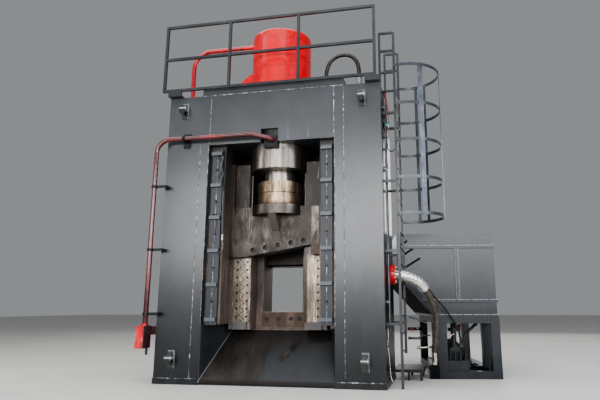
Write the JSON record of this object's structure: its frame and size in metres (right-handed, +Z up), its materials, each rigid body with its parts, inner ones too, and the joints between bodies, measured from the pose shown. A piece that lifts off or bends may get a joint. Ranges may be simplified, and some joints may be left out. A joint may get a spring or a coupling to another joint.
{
  "type": "scrap shear baler",
  "caption": "Gantry-type hydraulic scrap shear with guided knife slide, red main cylinder, caged ladder, top railing and a separate hydraulic power unit.",
  "frame": {"origin": "on the floor, in the middle of the gantry, half way between the front and rear faces of its columns", "axes": "+X to the right as seen from the discharge side, +Y from the discharge (front) side to the feed (rear) side, +Z up"},
  "size_m": [6.458, 5.1391, 6.935],
  "materials": {
    "frame_paint": "satin",
    "rail_paint": "satin",
    "unit_paint": "satin",
    "red_paint": "gloss",
    "motor_paint": "satin",
    "worn_steel": "worn",
    "dark_steel": "satin",
    "liner_steel": "greased",
    "blade_steel": "worn",
    "polished_steel": "polished",
    "bronze": "worn",
    "foil": "crumpled foil",
    "cast_metal": "satin",
    "hose_rubber": "satin"
  },
  "bodies": {
    "frame": {"cage_hoops": "rail_paint", "cage_straps": "rail_paint", "check_valve": "red_paint", "chute_cheeks": "frame_paint", "chute_plate": "worn_steel", "clamp_cylinder": "frame_paint", "cylinder_barrel": "red_paint", "foot_plates": "frame_paint", "gland_ring": "polished_steel", "guide_bar_bolts": "dark_steel", "hose_collar": "dark_steel", "hose_end_fitting": "polished_steel", "hose_flange": "red_paint", "hose_sleeve": "foil", "ladder_rungs": "rail_paint", "ladder_stringers": "rail_paint", "landing_frames": "rail_paint", "left_column": "frame_paint", "left_guide_bar": "frame_paint", "left_guide_housing": "worn_steel", "left_liner": "liner_steel", "lifting_lugs": "frame_paint", "low_step": "dark_steel", "lower_beam": "worn_steel", "lower_blade": "blade_steel", "lower_blade_bolts": "dark_steel", "main_hose": "hose_rubber", "main_pump": "cast_metal", "oil_tank": "unit_paint", "pilot_hose": "hose_rubber", "pipe_clamps": "dark_steel", "pipe_flange_block": "dark_steel", "pump_bellhousing": "cast_metal", "pump_motor": "motor_paint", "railing": "rail_paint", "return_pipe": "red_paint", "right_column": "frame_paint", "right_guide_bar": "frame_paint", "right_guide_housing": "worn_steel", "right_liner": "liner_steel", "side_pipes": "polished_steel", "stand_frame": "unit_paint", "suction_valve": "cast_metal", "top_beam": "frame_paint", "top_hose": "hose_rubber", "top_hose_fittings": "polished_steel", "top_pipe": "red_paint", "valve_manifold": "dark_steel", "window_wall": "worn_steel"},
    "slide": {"ram": "polished_steel", "split_ring": "bronze", "slide_body": "worn_steel", "thrust_disc": "worn_steel", "slide_strips": "bronze", "upper_blade": "blade_steel", "upper_blade_bolts": "dark_steel"},
    "clamp": {"clamp_plate": "worn_steel", "clamp_rod": "polished_steel"},
    "coupling": {"pump_coupling": "dark_steel"},
    "lever": {"valve_lever": "red_paint"}
  },
  "joints": [
    {"name": "slide_stroke", "type": "slide", "parent": "frame", "child": "slide", "axis": [0, 0, 1], "range_m": [-1.3, 0.1]},
    {"name": "clamp_stroke", "type": "slide", "parent": "frame", "child": "clamp", "axis": [0, 0, 1], "range_m": [-0.85, 0]},
    {"name": "coupling_spin", "type": "hinge", "parent": "frame", "child": "coupling", "pos_m": [3.17318, 1.69919, 0.439], "axis": [-0.1633, 0.9866, 0], "continuous": true},
    {"name": "lever_turn", "type": "hinge", "parent": "frame", "child": "lever", "pos_m": [3.3307, 1.42119, 0.89], "axis": [0.9866, 0.1633, 0], "range_deg": [0, 90]}
  ]
}
